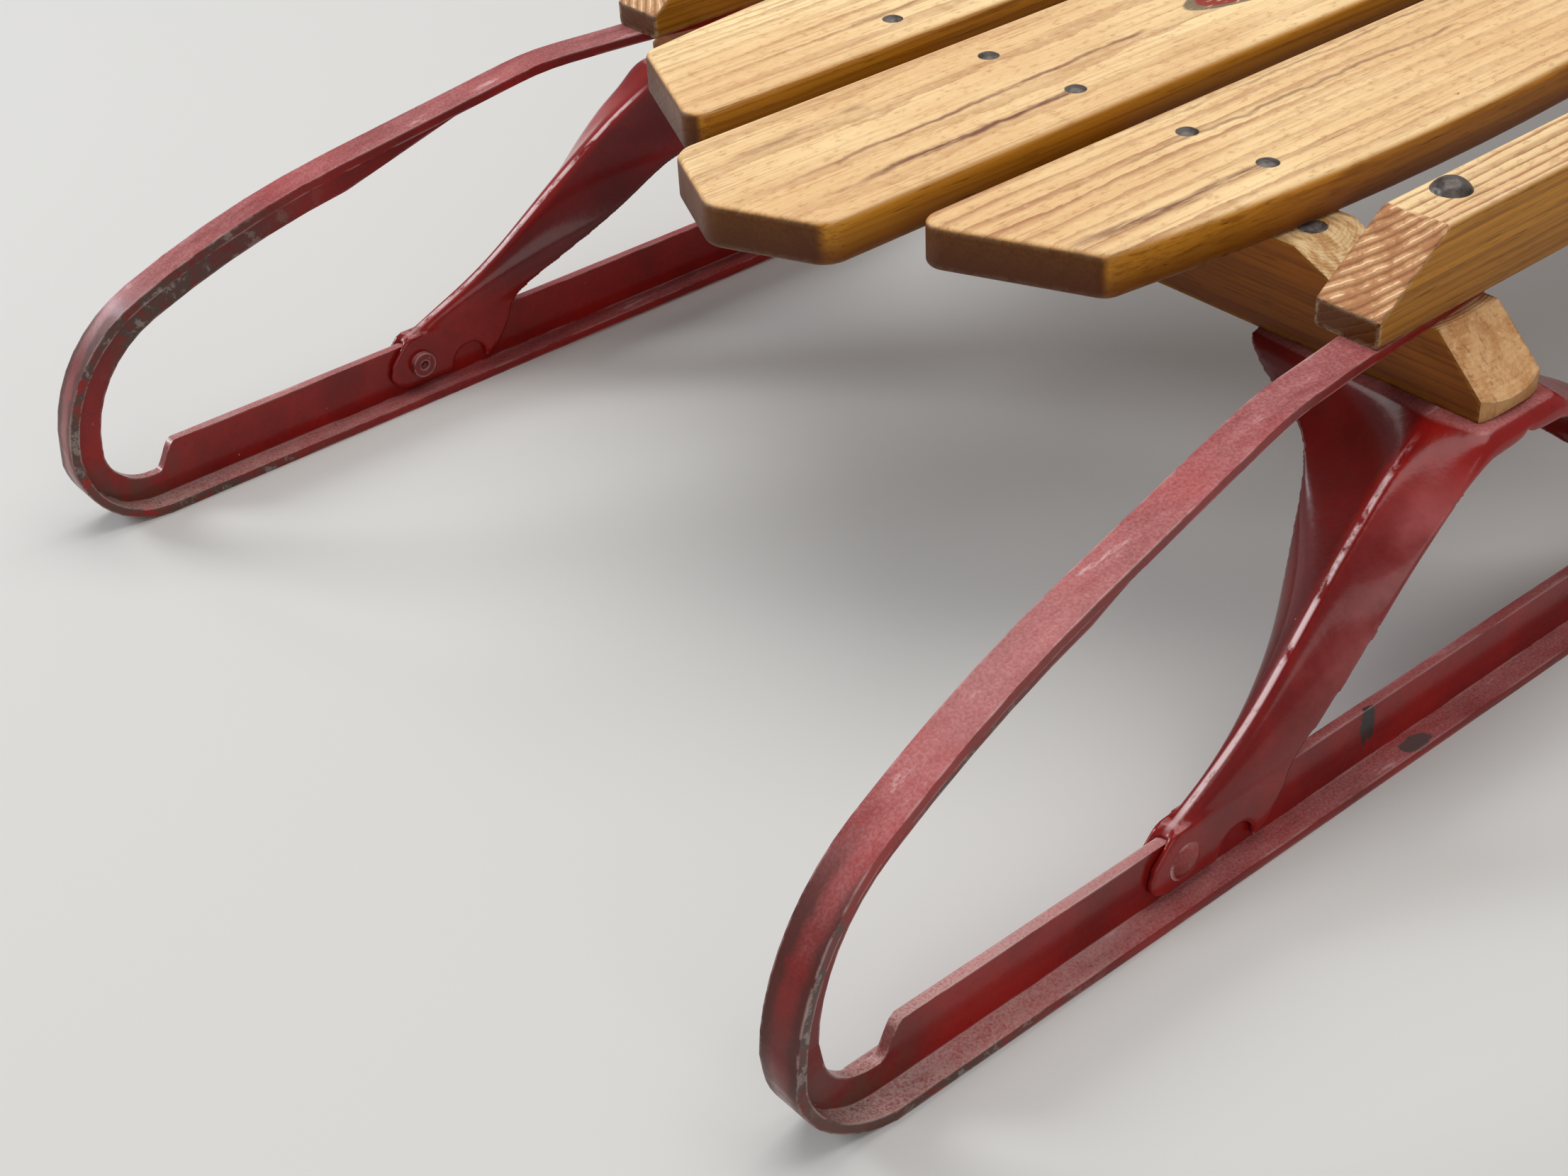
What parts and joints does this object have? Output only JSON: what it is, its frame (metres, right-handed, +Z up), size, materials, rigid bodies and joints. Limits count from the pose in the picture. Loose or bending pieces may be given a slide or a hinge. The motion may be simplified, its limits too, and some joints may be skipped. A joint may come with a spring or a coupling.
{
  "type": "steerable wooden sled",
  "caption": "Low wooden slatted sled on curled red steel runners, steered by a pivoted wooden bar that bends the front of the runners.",
  "frame": {"origin": "on the floor under the middle of the sled's overall box", "axes": "+Z up, -Y towards the front where the steering bar is, +X towards the sled's left"},
  "size_m": [0.42, 1.0196, 0.1643],
  "materials": {
    "slat_varnish": "satin golden varnish, worn",
    "rail_varnish": "satin golden varnish, worn",
    "crossbar_wood": "thin varnish, bare ends",
    "bar_varnish": "satin golden varnish, worn",
    "red_paint": "gloss, chipped and dusty",
    "rivet_steel": "dull, tarnished"
  },
  "bodies": {
    "sled_frame": {"crossbar_front": "crossbar_wood", "crossbar_rear": "crossbar_wood", "deck_slat_centre": "slat_varnish", "deck_slat_left": "slat_varnish", "deck_slat_right": "slat_varnish", "foot_rivets_left": "rivet_steel", "foot_rivets_right": "rivet_steel", "pivot_bolt": "rivet_steel", "pivot_nut": "rivet_steel", "pivot_spacer": "rivet_steel", "pivot_washer": "rivet_steel", "rail_rivets_middle": "rivet_steel", "rail_rivets_nose": "rivet_steel", "rail_rivets_rear": "rivet_steel", "runner_left": "red_paint", "runner_right": "red_paint", "saddle_rivets_front": "rivet_steel", "saddle_rivets_rear": "rivet_steel", "side_rail_left": "rail_varnish", "side_rail_right": "rail_varnish", "slat_rivets_front": "rivet_steel", "slat_rivets_rear": "rivet_steel", "standard_front_left": "red_paint", "standard_front_right": "red_paint", "standard_rear_left": "red_paint", "standard_rear_right": "red_paint"},
    "steering": {"steering_bar": "bar_varnish", "steering_tongue": "red_paint", "tongue_screws": "rivet_steel"},
    "front_end": {"bumper": "red_paint", "bumper_pin": "rivet_steel", "bumper_rivet_tails": "rivet_steel"}
  },
  "joints": [
    {"name": "steering_turn", "type": "hinge", "parent": "sled_frame", "child": "steering", "pos_m": [0, -0.373, 0.1505], "axis": [0, 0, 1], "range_deg": [-12, 12], "stiffness_Nm_per_rad": 20},
    {"name": "front_sway", "type": "slide", "parent": "sled_frame", "child": "front_end", "axis": [1, 0, 0], "range_m": [-0.0252, 0.0252]}
  ],
  "couplings": [
    {"joint": "front_sway", "follows": "steering_turn", "m_per_rad": 0.12}
  ]
}
